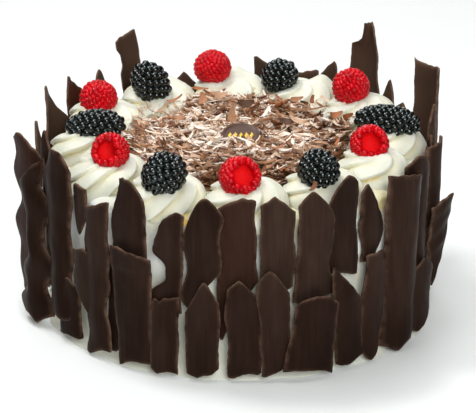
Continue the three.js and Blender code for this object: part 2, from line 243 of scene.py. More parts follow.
# Bites out of a shard's side: side (-1 left, 1 right), height, depth, half-height, power of its ends
BITES = {
    "shard_13": [(1, 150, 7.5, 25, 24), (-1, 142, 3.5, 22, 2)],
    "shard_20": [(1, 112, 2.5, 6, 4)],
    "shard_26": [(-1, 46, 4, 20, 4)],
    "shard_31": [(-1, 108, 4.5, 20, 2)],
    "shard_32": [(-1, 96, 12.5, 15, 1.2), (-1, 59, 8, 8.5, 4)],
    "outer_shard_05": [(-1, 66, 2, 22, 6)],
}
# How far a shard's face is crumpled
CRUMPLED = {"outer_shard_07": 0.45}
# How much further than the others a shard's sides wave
WAVY = {"shard_05": 1, "shard_07": 1.2, "shard_25": 1.8, "shard_26": 2.4, "shard_28": 1.4, "shard_30": 0.9,
        "shard_33": 0.7, "shard_03": 0.5, "outer_shard_05": 0.8, "outer_shard_12": 1}
# Heights of cracks that run across a shard
CRACKS = {"outer_shard_11": 58, "shard_32": 84}
# Notch in a shard's tip: place across, depth, half-width
NOTCHES = {"shard_10": (0.35, 2.5, 0.5)}
# Tones of chocolate, from dark to light; the left shards 25, 26 and 28 and outer shard 14 are darkest as
# painted shade
TONES = {"shard_10": 1, "shard_13": 1, "shard_25": 0, "shard_26": 0, "shard_28": 0, "shard_31": 0.3,
         "outer_shard_03": 0.1, "outer_shard_13": 0, "outer_shard_14": 0}
# How far the light comes through a shard, painted as a red-brown glow
WARM_SHARDS = {"shard_25": 0.3, "shard_22": 0.8, "shard_01": 0.12}

# Camera: fitted to the round foot and the ring of rosettes
CAMERA_TARGET = (0.4, 0, 55.5)
CAMERA_DISTANCE = 1400
CAMERA_ELEVATION = 21.73
CAMERA_LENS = 189.7
SENSOR_WIDTH = 36

# Stage: the floor's half width and the place that the lamps face are in metres
SURROUND_STRENGTH = 0.07
FLOOR_HALF = 6
LAMP_TARGET = (0, 0, 0.06)
# Lamps: name, place and width in metres, power in watts
LAMPS = [
    ("overhead", (-0.3, -0.1, 1.25), 1.1, 9),
    ("glint", (-0.45, 0.25, 1.2), 0.25, 5.5),
    ("front", (0.4, -1.5, 0.9), 0.9, 21.5),
    ("behind", (0.2, 1.7, 1.5), 1.4, 16),
]


# Arrays

def outward(at):
    """Unit vector that points away from the axis at an azimuth."""
    a = np.radians(at)
    return np.array([np.sin(a), -np.cos(a), 0.0])


def ripple(x, y, seed, size, waves=7):
    """Smooth uneven field, mostly between -1 and 1: a sum of sine waves whose lengths are near size,
    each with its own direction and phase."""
    draw = np.random.default_rng(seed)
    turn, phase = draw.uniform(0, 2 * np.pi, (2, waves))
    pitch = 2 * np.pi / (size * draw.uniform(0.7, 1.4, waves))
    along = np.asarray(x)[..., None] * np.cos(turn) + np.asarray(y)[..., None] * np.sin(turn)
    return np.sin(pitch * along + phase).sum(-1) / np.sqrt(waves)


def turn_to(tip):
    """Matrix of the shortest turn that takes +Z to the unit vector tip (Rodrigues' formula)."""
    axis = np.cross((0, 0, 1), tip)
    skew = np.array([[0, -axis[2], axis[1]], [axis[2], 0, -axis[0]], [-axis[1], axis[0], 0]])
    return np.eye(3) + skew + skew @ skew / (1 + tip[2])


def tip_vector(lean, face):
    """Unit vector that leans from upright towards an azimuth."""
    lean = np.radians(lean)
    return outward(face) * np.sin(lean) + np.array([0, 0, np.cos(lean)])


def net(index):
    """Quads between neighbouring rows and columns of a grid of corner numbers."""
    corners = [index[:-1, :-1], index[:-1, 1:], index[1:, 1:], index[1:, :-1]]
    return np.stack(corners, axis=-1).reshape(-1, 4)


def shell(grid):
    """Closed body from a (rows, columns, 3) grid that runs round: the last column meets the first, and the
    first and last rows are each one point."""
    rows, columns = grid.shape[:2]
    index = np.arange(rows * columns).reshape(rows, columns)
    index[0] = index[0, 0]
    index[-1] = index[-1, 0]
    return grid.reshape(-1, 3), net(np.column_stack([index, index[:, 0]]))


def slab(middle, half):
    """Thin closed body on a (..., rows, columns, 3) grid: its front is middle plus half and its back middle
    minus half; they share the outline, where half is zero. Leading axes are copies."""
    rows, columns = middle.shape[-3:-1]
    count = rows * columns
    front = np.arange(count).reshape(rows, columns)
    back = front + count
    back[[0, -1]] = front[[0, -1]]
    back[:, [0, -1]] = front[:, [0, -1]]
    quads = np.concatenate([net(front), net(back)[:, ::-1]])
    points = np.stack([middle + half, middle - half], axis=-4).reshape(-1, 2 * count, 3)
    shift = 2 * count * np.arange(len(points))
    return points.reshape(-1, 3), (quads + shift[:, None, None]).reshape(-1, 4)


def both_faces(values, copies=1):
    """Values on a slab's grid, repeated for its front and its back."""
    flat = np.asarray(values).reshape(copies, -1)
    return np.concatenate([flat, flat], axis=1).ravel()


def rim_steps(count, length, rim):
    """Shares from 0 to 1 along a length: even steps, with closer ones inside the rim at both ends."""
    near = np.array([0, 0.12, 0.45, 1]) * rim / length
    return np.concatenate([near, np.linspace(near[-1], 1 - near[-1], count)[1:-1], 1 - near[::-1]])


def rounding(distance, rim):
    """Quarter-circle rise from 0 at an edge to 1 a rim's width away."""
    return np.sqrt(1 - (1 - np.clip(distance / rim, 0, 1)) ** 2)


def put(name, bodies, finish, nodes=(), sharp=None):
    """One object at the origin from bodies of (points, quads, attributes), riding on the cake. Corners that
    no quad uses are dropped, and a quad with a repeated corner becomes a triangle."""
    shift = np.cumsum([0] + [len(points) for points, _, _ in bodies[:-1]])
    points = np.concatenate([points for points, _, _ in bodies])
    quads = np.concatenate([quads + start for (_, quads, _), start in zip(bodies, shift)])
    used, quads = np.unique(quads, return_inverse=True)
    quads = quads.reshape(-1, 4)
    same = quads == np.roll(quads, -1, axis=1)
    whole = quads[~same.any(axis=1)]
    pinched = same.sum(axis=1) == 1
    triangles = quads[pinched][~same[pinched]].reshape(-1, 3)
    starts = np.concatenate([np.arange(len(whole)) * 4, whole.size + np.arange(len(triangles)) * 3])

    mesh = bpy.data.meshes.new(name)
    mesh.vertices.add(len(used))
    mesh.vertices.foreach_set("co", (points[used] * MM).astype(np.float32).ravel())
    corners = np.concatenate([whole.ravel(), triangles.ravel()])
    mesh.loops.add(len(corners))
    mesh.loops.foreach_set("vertex_index", corners.astype(np.int32))
    mesh.polygons.add(len(starts))
    mesh.polygons.foreach_set("loop_start", starts.astype(np.int32))
    mesh.update(calc_edges=True)
    for key in bodies[0][2]:
        values = np.concatenate([attributes[key] for _, _, attributes in bodies])[used]
        mesh.attributes.new(key, "FLOAT", "POINT").data.foreach_set("value", values.astype(np.float32))
    mesh.shade_smooth()
    if sharp is not None:
        mesh.set_sharp_from_angle(angle=np.radians(sharp))
    mesh.materials.append(finish)

    piece = bpy.data.objects.new(name, mesh)
    bpy.context.scene.collection.objects.link(piece)
    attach(piece, "root")
    if nodes:
        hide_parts(*nodes)


# Materials

class Finish:
    """A Principled material with short calls for the nodes that drive it."""

    def __init__(self, name, **constants):
        self.material = bpy.data.materials.new(name)
        self.material.use_nodes = True
        self.tree = self.material.node_tree
        self.shader = self.tree.nodes["Principled BSDF"]
        for socket, value in constants.items():
            self.shader.inputs[socket.replace("_", " ")].default_value = value
        self.place = self.node("ShaderNodeTexCoord").outputs["Object"]

    def node(self, kind, inputs=(), **settings):
        made = self.tree.nodes.new(kind)
        for key, value in settings.items():
            setattr(made, key, value)
        for key, value in dict(inputs).items():
            if isinstance(value, bpy.types.NodeSocket):
                self.tree.links.new(value, made.inputs[key])
            else:
                made.inputs[key].default_value = value
        return made

    def attribute(self, name):
        return self.node("ShaderNodeAttribute", attribute_name=name).outputs["Fac"]

    def noise(self, size, detail=3, stretch=(1, 1, 1)):
        """Noise whose features are about size millimetres across, drawn out along axes by stretch."""
        scale = [1 / (size * MM * s) for s in stretch]
        place = self.node("ShaderNodeMapping", {"Vector": self.place, "Scale": scale}).outputs["Vector"]
        return self.node("ShaderNodeTexNoise", {"Vector": place, "Scale": 1, "Detail": detail}).outputs["Fac"]

    def math(self, operation, a, b):
        return self.node("ShaderNodeMath", {0: a, 1: b}, operation=operation, use_clamp=True).outputs[0]

    def range(self, value, low, high, out_low=0, out_high=1):
        inputs = {"Value": value, "From Min": low, "From Max": high, "To Min": out_low, "To Max": out_high}
        return self.node("ShaderNodeMapRange", inputs).outputs["Result"]

    def blend(self, share, first, second):
        """Colour between first and second; each is an (r, g, b) or a socket."""
        made = self.node("ShaderNodeMix", {"Factor": share}, data_type="RGBA")
        for socket, value in ((made.inputs[6], first), (made.inputs[7], second)):
            if isinstance(value, bpy.types.NodeSocket):
                self.tree.links.new(value, socket)
            else:
                socket.default_value = (*value, 1)
        return made.outputs[2]

    def ramp(self, share, stops):
        made = self.node("ShaderNodeValToRGB", {"Fac": share})
        elements = made.color_ramp.elements
        while len(elements) < len(stops):
            elements.new(0.5)
        for element, (position, colour) in zip(elements, stops):
            element.position = position
            element.color = (*colour, 1)
        return made.outputs["Color"]

    def link(self, socket, value):
        self.tree.links.new(value, self.shader.inputs[socket])

    def bump(self, *layers):
        """Stacked bumps, each a height socket and its depth in millimetres."""
        normal = None
        for height, depth in layers:
            inputs = {"Height": height, "Strength": 1, "Distance": depth * MM}
            if normal is not None:
                inputs["Normal"] = normal
            normal = self.node("ShaderNodeBump", inputs).outputs["Normal"]
        self.link("Normal", normal)


def cream_finish():
    f = Finish("whipped_cream", Roughness=0.5, Subsurface_Weight=0.2, Subsurface_Scale=0.004,
               Subsurface_Radius=(1.0, 0.8, 0.5))
    crease_shade = f.attribute("crease_shade")
    # Painted light: the marked upper wall turns a lighter, cooler white.
    body = f.blend(f.attribute("shade"), (0.735, 0.745, 0.635), (0.92, 0.95, 0.90))
    # Painted shade: creases turn yellowish, in patches.
    yellow_shade = f.math("MULTIPLY", crease_shade, f.range(f.noise(16), 0.3, 0.7, 0.4, 1.0))
    tinted = f.blend(yellow_shade, body, (0.70, 0.62, 0.28))
    # Deep yellow patches in the deepest creases: painted shade, partly the cream's own yellow.
    spot = f.math("MULTIPLY", f.range(crease_shade, 0.45, 0.8), f.range(f.noise(11), 0.58, 0.66))
    f.link("Base Color", f.blend(spot, tinted, (0.72, 0.47, 0.06)))
    f.bump((f.noise(1.6), 0.12), (f.noise(6), 0.35))
    return f.material


def chocolate_finish():
    f = Finish("dark_chocolate", Specular_IOR_Level=0.05, Specular_Tint=(1.0, 0.64, 0.46, 1))
    streaks = f.noise(1.8, 3, (1, 1, 14))
    patch = f.range(f.math("ADD", f.noise(14, 4, (1, 1, 3)), f.range(streaks, 0, 1, -0.25, 0.25)), 0.35, 0.7)
    dark = f.blend(patch, (0.011, 0.0050, 0.0034), (0.020, 0.0102, 0.0072))
    light = f.blend(patch, (0.026, 0.0142, 0.0103), (0.043, 0.0258, 0.0188))
    sides = f.blend(f.attribute("inside"), f.blend(f.attribute("tone"), dark, light), (0.066, 0.038, 0.026))
    # Painted light: shards listed as warm turn red-brown where light would shine through them.
    body = f.blend(f.attribute("warm"), sides, (0.06, 0.012, 0.006))
    # Painted highlight: a paler line along the broken rim, broken up by noise.
    rim = f.math("MULTIPLY", f.attribute("rim"), f.range(f.noise(5), 0.3, 0.6))
    f.link("Base Color", f.blend(rim, body, (0.16, 0.095, 0.065)))
    f.link("Roughness", f.range(f.noise(4, 4, (1, 1, 4)), 0.3, 0.7, 0.36, 0.58))
    f.bump((f.noise(1.2, 3, (1, 1, 9)), 0.09), (f.noise(9, 2, (1, 1, 2)), 0.4))
    return f.material


def shavings_finish():
    f = Finish("milk_chocolate_shavings", Roughness=0.6, Specular_IOR_Level=0.35)
    tone = f.math("ADD", f.attribute("tone"), f.range(f.noise(1.5), 0, 1, -0.12, 0.12))
    body = f.ramp(tone, [
        (0.0, (0.046, 0.016, 0.005)), (0.25, (0.19, 0.076, 0.029)), (0.5, (0.44, 0.232, 0.122)),
        (0.75, (0.75, 0.565, 0.415)), (1.0, (0.92, 0.84, 0.75)),
    ])
    f.link("Base Color", f.blend(f.attribute("amber"), body, (0.36, 0.10, 0.022)))
    f.bump((f.noise(0.8), 0.06))
    return f.material


def red_berry_finish():
    f = Finish("red_berry", Specular_IOR_Level=0.25,
               Subsurface_Weight=0.2, Subsurface_Scale=0.0015, Subsurface_Radius=(1.0, 0.25, 0.2),
               Sheen_Weight=0.03, Sheen_Tint=(1.0, 0.75, 0.75, 1), Sheen_Roughness=0.4)
    hollow = f.attribute("hollow")
    skin = f.blend(f.attribute("tone"), (0.42, 0.0, 0.003), (0.66, 0.001, 0.007))
    f.link("Base Color", f.blend(hollow, skin, (0.84, 0.001, 0.003)))
    f.link("Roughness", f.range(hollow, 0, 1, 0.12, 0.75))
    f.bump((f.noise(0.5), 0.03))
    return f.material


def dark_berry_finish():
    f = Finish("dark_berry", Roughness=0.11, Specular_IOR_Level=0.7, Specular_Tint=(0.88, 1.0, 0.96, 1))
    f.link("Base Color", f.blend(f.attribute("tone"), (0.0005, 0.002, 0.002), (0.004, 0.005, 0.005)))
    f.bump((f.noise(0.6), 0.02))
    return f.material


def badge_finish():
    f = Finish("badge_chocolate", Roughness=0.4, Specular_IOR_Level=0.3)
    f.link("Base Color", f.blend(f.noise(5), (0.065, 0.031, 0.019), (0.10, 0.05, 0.032)))
    f.bump((f.noise(1.2), 0.04))
    return f.material


def gold_finish():
    f = Finish("gold_leaf", Metallic=1.0)
    f.link("Base Color", f.blend(f.noise(0.8), (0.55, 0.32, 0.03), (0.8, 0.52, 0.1)))
    f.link("Roughness", f.range(f.noise(0.5), 0, 1, 0.3, 0.45))
    return f.material


CREAM = cream_finish()
CHOCOLATE = chocolate_finish()
SHAVINGS = shavings_finish()
RED_BERRY = red_berry_finish()
DARK_BERRY = dark_berry_finish()
BADGE = badge_finish()
GOLD = gold_finish()


# Cream

def middle_of(node):
    """Middle of a node's box."""
    return np.mean([np.array(corner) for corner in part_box(node)], axis=0) / MM


SEATS = [(middle_of(node), wide / 2 - SEAT_SINK) for node, wide, *_ in BERRIES if node.startswith("red")]


def cream_coat():
    """The coat: an outline (underside, wall, rounded edge, top) turned about the axis. The wall swells and
    dips with long ripples, short upright ones leave the marks of the spatula, and the foot spills out."""
    turn = np.linspace(0, 2 * np.pi, COAT_COLUMNS, endpoint=False)
    arc = np.linspace(0, np.pi / 2, 10)
    radius = CAKE_RADIUS - COAT_INSET
    r = np.concatenate([[0, radius - 4], np.full(COAT_ROWS, radius),
                        radius - COAT_EDGE * (1 - np.cos(arc[1:])),
                        np.linspace(radius - COAT_EDGE, 0, 8)[1:]])
    z = np.concatenate([[0, 0], (CAKE_TOP - COAT_EDGE) * np.linspace(0, 1, COAT_ROWS) ** 1.6,
                        CAKE_TOP - COAT_EDGE * (1 - np.sin(arc[1:])), np.full(7, CAKE_TOP)])
    a, r = np.meshgrid(turn, r)
    z = np.repeat(z[:, None], COAT_COLUMNS, axis=1)
    wall = np.clip(z / 4, 0, 1) * (r > radius - 1)
    # Whole waves round the wall, so that the last column meets the first
    around = radius * np.cos(a), radius * np.sin(a)
    swell = 0.5 * ripple(around[0], z, 1, 26) * ripple(around[1], z, 2, 30)
    marks = 0.22 * ripple(around[0], 0.3 * z, 3, 7) + 0.22 * ripple(around[1], 0.3 * z, 4, 7)
    spill = COAT_FOOT * np.exp(-(z / 3.6) ** 1.5) * (1 + 0.2 * ripple(around[0], around[1], 5, 30))
    r = r + wall * (swell + marks) + (r > radius - 1) * spill
    grid = np.stack([r * np.sin(a), -r * np.cos(a), z], axis=-1)
    points, quads = shell(grid)
    # Painted shade: a yellowish band just under the top edge, where the swirls overhang, and the hollows of
    # the spatula marks.
    yellow_shade = np.clip(ripple(around[0], around[1], 6, 60), 0, 1) * np.exp(-((z - CAKE_TOP + 5) / 8) ** 2)
    crease_shade = np.clip(0.2 * np.clip(-marks, 0, 1) + yellow_shade, 0, 1)
    # Painted light: the upper wall, from 50 mm to just under the top edge, is marked to be lighter and
    # cooler.
    shade = np.clip(np.minimum((z - 50) / 12, (CAKE_TOP - z) / 6), 0, 1)
    layers = {"crease_shade": crease_shade.ravel(), "shade": shade.ravel()}
    put("cream_coat", [(points, quads, layers)], CREAM, ["cake_body"])


def rosette_grid(at, seed):
    """A swirl. Round the rosette's own axis by angle a and up by s, a superellipse gives radius and height;
    folds run round and up it, each steep on one side and slow on the other, with fine lines along them; the
    side that faces out droops over the cake's edge at the front and stands up at the back. Returns the grid
    and how deep each point lies."""
    draw = np.random.default_rng(seed)
    s, a = np.meshgrid(np.linspace(ROSETTE_SKIRT, np.pi / 2, ROSETTE_ROWS),
                       np.linspace(0, 2 * np.pi, ROSETTE_COLUMNS, endpoint=False), indexing="ij")
    climb = (s - ROSETTE_SKIRT) / (np.pi / 2 - ROSETTE_SKIRT)
    size = draw.uniform(0.97, 1.05)
    radius = ROSETTE_RADIUS * size * np.clip(np.cos(s), 0, 1) ** 0.68
    height = ROSETTE_WAIST + ROSETTE_DOME * draw.uniform(0.92, 1.08) * np.sin(s)
    sweep = ROSETTE_SWEEP * draw.uniform(0.8, 1.2)
    phase = ROSETTE_RIDGES * (a - sweep * climb ** 1.2) + draw.uniform(0, 2 * np.pi)
    phase = phase + 0.8 * np.sin(a + draw.uniform(0, 6)) + 0.5 * np.sin(2 * a + draw.uniform(0, 6))
    fold = phase / (2 * np.pi) % 1
    crest = np.clip(fold / FOLD_RISE, 0, 1) ** 0.55 * np.clip((1 - fold) / FOLD_FALL, 0, 1) ** 0.6
    lines = np.sin(3 * phase + 2 * np.sin(phase)) * crest
    fade = np.sin(np.pi * climb ** 0.75) ** 0.6
    depth = ROSETTE_RIDGE * (1 + 0.35 * np.sin(a + draw.uniform(0, 6))) * fade
    push = depth * (crest - 0.7) + 0.12 * lines * fade
    radius = np.clip(radius + push * np.cos(s), 0, None)
    height = height + 0.8 * push * np.sin(s)
    x = radius * np.cos(a)
    y = radius * np.sin(a)
    behind = np.clip(0.3 - np.cos(np.radians(at)), 0, 1.3) / 1.3
    height = height - ROSETTE_DROOP * (1 - behind) * np.clip(x / ROSETTE_RADIUS, 0, 1) ** 2
    slope = np.clip((x / ROSETTE_RADIUS + 0.4) / 1.4, 0, 1)
    height = height + ROSETTE_LIFT * behind ** 0.6 * slope * np.clip(1.6 * climb, 0, 1)
    x = np.where(x > 0, x * ROSETTE_REACH, x)
    uneven = 0.8 * ripple(x, y, seed + 50, 17)
    lean_x, lean_y = draw.uniform(-1.5, 1.5, 2)
    x = x + lean_x * climb + uneven * (1 - climb)
    y = y + lean_y * climb
    out, side = outward(at), outward(at + 90)
    grid = x[..., None] * out + y[..., None] * side + (height + uneven * climb)[..., None] * (0, 0, 1)
    grid = grid + ROSETTE_RING * out + np.array([0, 0, CAKE_TOP])
    for dent_x, dent_y, spread, depth in DENTS:
        from_axis = np.hypot(grid[..., 0] - dent_x, grid[..., 1] - dent_y)
        grid[..., 2] -= depth * np.exp(-(from_axis / spread) ** 2) * climb
    for centre, hollow in SEATS:
        # Cream stays below the berries that press on it
        from_axis = np.hypot(grid[..., 0] - centre[0], grid[..., 1] - centre[1])
        seat = centre[2] - np.sqrt(np.clip(hollow ** 2 - from_axis ** 2, 0, None))
        grid[..., 2] = np.where(from_axis < hollow, np.minimum(grid[..., 2], seat), grid[..., 2])
    # The underside closes to its middle
    grid[0] = grid[0].mean(axis=0)
    # Painted shade: the creases between the folds, and the skirt low on the swirl, are marked for a yellowish
    # shade.
    under = 0.5 * np.clip(1 - climb / 0.35, 0, 1)
    return grid, np.clip((1 - crest) ** 1.5 * np.sin(np.pi * climb) + under, 0, 1)


def rosettes():
    """All the swirls, each standing for its node. Returns their grids for what is scattered on them."""
    grids = []
    for i in range(ROSETTE_COUNT):
        grid, crease_shade = rosette_grid(ROSETTE_FIRST + i * 360 / ROSETTE_COUNT, ROSETTE_SEED + i)
        points, quads = shell(grid)
        layers = {"crease_shade": crease_shade.ravel(), "shade": np.zeros(len(points))}
        put(f"swirl_{i + 1:02d}", [(points, quads, layers)], CREAM, [f"cream_rosette_{i + 1:02d}"])
        grids.append(grid)
    return grids


# Chocolate shards

def shard_grid(row, seed, bites, notch, crack, crumple, wavy):
    """A slip on a grid of u (-1 left to 1 right) and v (0 toe to 1 tip). Height runs between the toe cut and
    the tip cut; the sides taper, tilt, wave and have bites; the face curls by u squared, leans by height,
    buckles a little and steps at a crack. Returns points, quads, how near each point is to the broken rim,
    and which points are on the side that faces the cake."""
    at, wide, foot, tip, out, yaw, lean, tilt, curl, tip_cut, toe_cut, taper = row
    u = 2 * rim_steps(SHARD_COLUMNS, wide, SHARD_RIM) - 1
    v = rim_steps(SHARD_ROWS, tip - foot, SHARD_RIM)
    v, u = np.meshgrid(v, u, indexing="ij")

    def fall(cut):
        peak, depth, power = cut
        return depth * (np.abs(u - peak) / (1 + abs(peak))) ** power

    # Broken ends: short steps on the tip, low arches along the toe
    place = u * wide / 2
    jag = 0.45 * ripple(place, 0 * u, seed, 6) + 0.08 * ripple(place, 0 * u, seed + 1, 1.9)
    arch = np.abs(ripple(place, 0 * u, seed + 2, 24)) * (3.2 if foot < 10 else 0.8)
    arch = arch + 0.08 * ripple(place, 0 * u, seed + 3, 2)
    low = np.clip(foot + fall(toe_cut) + arch, 0.3, None)
    high = tip - fall(tip_cut) + jag
    if notch is not None:
        high = high - notch[1] * np.exp(-((u - notch[0]) / notch[2]) ** 2)
    h = low + (high - low) * v
    middle = (foot + tip) / 2
    share = (h - middle) / (tip - foot)
    s = place * (1 - 2 * taper * share) + np.tan(np.radians(tilt)) * (h - middle)
    for side in (-1, 1):
        weight = np.clip((1 + side * u) / 2, 0, 1) ** 2
        wave = (0.65 + wavy) * ripple(h, 0 * h, seed + 5 + side, 26)
        wave = wave + (0.12 + crumple) * ripple(h, 0 * h, seed + 8 + side, 5 + 12 * crumple)
        s = s + weight * wave
        for bite_side, level, depth, span, power in bites:
            if bite_side == side:
                s = s - side * weight * depth * np.exp(-np.abs((h - level) / span) ** power)
    w = CURL_GAIN * curl * (0.4 - u ** 2) + np.tan(np.radians(lean)) * (h - foot)
    w = w + 0.3 * ripple(s, h, seed + 12, 34) * (1 - np.exp(-(h - low) / 10))
    w = w + 0.07 * ripple(s, h, seed + 13, 9)
    w = w + crumple * ripple(s, h, seed + 14, 12)
    if crack is not None:
        w = w + 0.3 * np.tanh((h - crack) / 0.5)
    along, normal = outward(at - yaw + 90), outward(at - yaw)
    face = outward(at) * (SHARD_WALL + out) + s[..., None] * along + w[..., None] * normal
    face[..., 2] = h
    from_side = (1 - np.abs(u)) * wide / 2
    from_end = np.minimum(v, 1 - v) * (high - low)
    half = SHARD_THICKNESS / 2 * rounding(from_side, SHARD_RIM) * rounding(from_end, SHARD_RIM)
    points, quads = slab(face - normal * SHARD_THICKNESS / 2, half[..., None] * normal)
    # How near a point is to the broken rim, where the painted highlight goes.
    rim = np.exp(-np.minimum(from_side, from_end) / SHARD_HIGHLIGHT_RIM)
    return points, quads, both_faces(rim), np.repeat([0, 1], rim.size)


def shard(name, row, seed, tone, nodes=()):
    """A slip with its bites, notch, crack and waves, in its own tone of chocolate."""
    bites, notch, crack = BITES.get(name, ()), NOTCHES.get(name), CRACKS.get(name)
    crumple, wavy = CRUMPLED.get(name, 0), WAVY.get(name, 0)
    points, quads, rim, inside = shard_grid(row, seed, bites, notch, crack, crumple, wavy)
    # Painted shade: each shard's tone darkens towards its foot.
    tone = TONES.get(name, tone) * np.clip(0.2 + points[:, 2] / CAKE_TOP, 0, 1)
    warm = np.full(len(points), WARM_SHARDS.get(name, 0))
    body = points, quads, {"rim": rim, "inside": inside, "tone": tone, "warm": warm}
    put(name if not nodes else name.replace("shard", "slip"), [body], CHOCOLATE, nodes)


def shards():
    """The inner course stands for its nodes. The outer course leans on it: the front as listed, and round
    the back a drawn one."""
    draw = np.random.default_rng(7)
    for i, row in enumerate(INNER_SHARDS):
        name = f"shard_{i + 1:02d}"
        shard(name, row, INNER_SEED + SHARD_SEED_STEP * i, draw.uniform(0.2, 0.9), [name])
    back = []
    for at in np.arange(*BACK_COURSE):
        wide, tip, out = draw.uniform(14, 23), draw.uniform(42, 72), draw.uniform(6.6, 8)
        tip_cut = draw.uniform(-0.9, 0.9), draw.uniform(6, 20), draw.uniform(1, 1.6)
        toe_cut = draw.uniform(-0.9, 0.9), draw.uniform(2, 7), 1
        place, foot = at + draw.uniform(-2.5, 2.5), draw.uniform(0.5, 2)
        lean, tilt, taper = draw.uniform(0.5, 1.5), draw.uniform(-3, 3), draw.uniform(-0.1, 0.1)
        back.append((place, wide, foot, tip, out, 0, lean, tilt, 0.8, tip_cut, toe_cut, taper))
    for i, row in enumerate(OUTER_SHARDS + back):
        shard(f"outer_shard_{i + 1:02d}", row, OUTER_SEED + SHARD_SEED_STEP * i, draw.uniform(0.2, 0.9))


# Berries

def ball(rows, columns):
    """Unit sphere on a grid of polar angle and turn."""
    down, turn = np.meshgrid(np.linspace(0, np.pi, rows),
                             np.linspace(0, 2 * np.pi, columns, endpoint=False), indexing="ij")
    grid = np.stack([np.sin(down) * np.cos(turn), np.sin(down) * np.sin(turn), np.cos(down)], axis=-1)
    grid[0], grid[-1] = (0, 0, 1), (0, 0, -1)
    return grid


def bead_places(wide, long, bead, last):
    """Directions of the beads on an egg: even by area from the tip down to the polar angle last, each a
    golden turn from the one before."""
    down = np.linspace(0, np.radians(last), 400)
    ring = np.hypot(wide / 2 * np.cos(down), long / 2 * np.sin(down)) * wide / 2 * np.sin(down)
    area = np.concatenate([[0], np.cumsum((ring[1:] + ring[:-1]) / 2 * np.diff(down))])
    count = int(2 * np.pi * area[-1] / (BEAD_AREA * bead ** 2))
    share = (np.arange(count) + 0.5) / count
    angle = np.interp(share * area[-1], area, down)
    turn = GOLDEN_TURN * np.arange(count)
    return np.stack([np.sin(angle) * np.cos(turn), np.sin(angle) * np.sin(turn), np.cos(angle)], axis=-1)


def beads(way, wide, long, bead, swell, draw):
    """Beads on an egg: one ball for each direction, drawn out along it and set so that its top stands a
    little proud of the egg. Returns points, quads and the number of points in a bead."""
    size = swell * bead * draw.uniform(0.88, 1.12, len(way))
    half = np.array([wide, wide, long]) / 2
    seat = way * (half - ((1 + BEAD_STRETCH) * swell - BEAD_PROUD) * bead)
    normal = way / half
    normal = normal / np.linalg.norm(normal, axis=1, keepdims=True)
    unit, quads = shell(ball(BEAD_ROWS, BEAD_COLUMNS))
    reach = unit @ normal.T
    shape = unit[None] + BEAD_STRETCH * reach.T[..., None] * normal[:, None]
    points = seat[:, None] + size[:, None, None] * shape
    shift = len(unit) * np.arange(len(way))
    return points.reshape(-1, 3), (quads + shift[:, None, None]).reshape(-1, 4), len(unit)


def berry_core(wide, long, bead, hollow):
    """What fills the space behind the beads: an egg, or for a hollow berry a cup whose wall turns over the
    rim and runs down to a rounded floor. Returns points, quads and where the hollow is."""
    half_wide, half_long = wide / 2 - CORE_DEPTH * bead, long / 2 - CORE_DEPTH * bead
    last = np.radians(HOLLOW_RIM) if hollow else np.pi
    down = np.linspace(0, last, 22)
    r, z = half_wide * np.sin(down), half_long * np.cos(down)
    inside = np.zeros_like(r)
    if hollow:
        t = np.linspace(0, 1, 14)[1:]
        r = np.concatenate([r, r[-1] * np.sqrt(1 - t ** 1.6)])
        z = np.concatenate([z, z[-1] + HOLLOW_DEPTH * t])
        inside = np.concatenate([inside, np.clip(t * 4, 0, 1)])
    turn = np.linspace(0, 2 * np.pi, 40, endpoint=False)
    ribs = 1 + 0.05 * inside[:, None] * np.sin(13 * turn)
    grid = np.stack([r[:, None] * ribs * np.cos(turn), r[:, None] * ribs * np.sin(turn),
                     np.repeat(z[:, None], len(turn), axis=1)], axis=-1)
    points, quads = shell(grid)
    return points, quads, np.repeat(inside, len(turn))


def berry(node, wide, long, lean, face, seed):
    """A berry at its node's place: beads over a core, turned so that its tip points as its row says."""
    draw = np.random.default_rng(seed)
    red = node.startswith("red")
    bead = RED_BEAD if red else DARK_BEAD
    centre = middle_of(node)
    turn = turn_to(tip_vector(lean, face))
    way = bead_places(wide, long, bead, HOLLOW_LAST_BEAD if red else 180)
    points, quads, each = beads(way, wide, long, bead, RED_SWELL if red else 1, draw)
    tone = np.repeat(draw.uniform(0, 1, len(way)), each)
    core_points, core_quads, inside = berry_core(wide, long, bead, red)
    bodies = [
        (points @ turn.T + centre, quads, {"tone": tone, "hollow": np.zeros(len(points))}),
        # Painted shade: the core takes the darkest tone, so the crevices between the beads look shaded.
        (core_points @ turn.T + centre, core_quads, {"tone": np.zeros(len(core_points)), "hollow": inside}),
    ]
    put(node.replace("berry", "fruit"), bodies, RED_BERRY if red else DARK_BERRY,
        [node])


# Shavings

def heap_reach(a):
    """Rim of the heap: it swells into the bays between the rosettes."""
    return HEAP_RADIUS - HEAP_BAY * np.cos(ROSETTE_COUNT * (a - np.radians(ROSETTE_FIRST)))


def ridges(x, y):
    """Short ridges that run across the heap from left to right, mostly between -1 and 1."""
    return ripple(0.5 * x, y, 27, 7)


def heap_height(x, y):
    """Height of the core under a place: a low mound that rolls up and down, banked up at the back and
    against some swirls, with short ridges across."""
    share = np.clip(np.hypot(x, y) / (HEAP_RADIUS - HEAP_CORE_INSET), 0, 1)
    mound = HEAP_CORE_HEIGHT * (1 - share ** 4)
    bank = HEAP_BANK * np.clip((y - 26) / 30, 0, 1) ** 1.3 * np.clip((x + 42) / 15, 0, 1)
    for bank_x, bank_y, spread, height in HEAP_BANKS:
        bank = bank + height * np.exp(-((x - bank_x) ** 2 + (y - bank_y) ** 2) / (2 * spread ** 2))
    rolls = 0.9 * ripple(x, y, 21, 17) + 1.0 * ridges(x, y)
    return CAKE_TOP + mound + bank + rolls * (1 - share ** 2) + 0.5


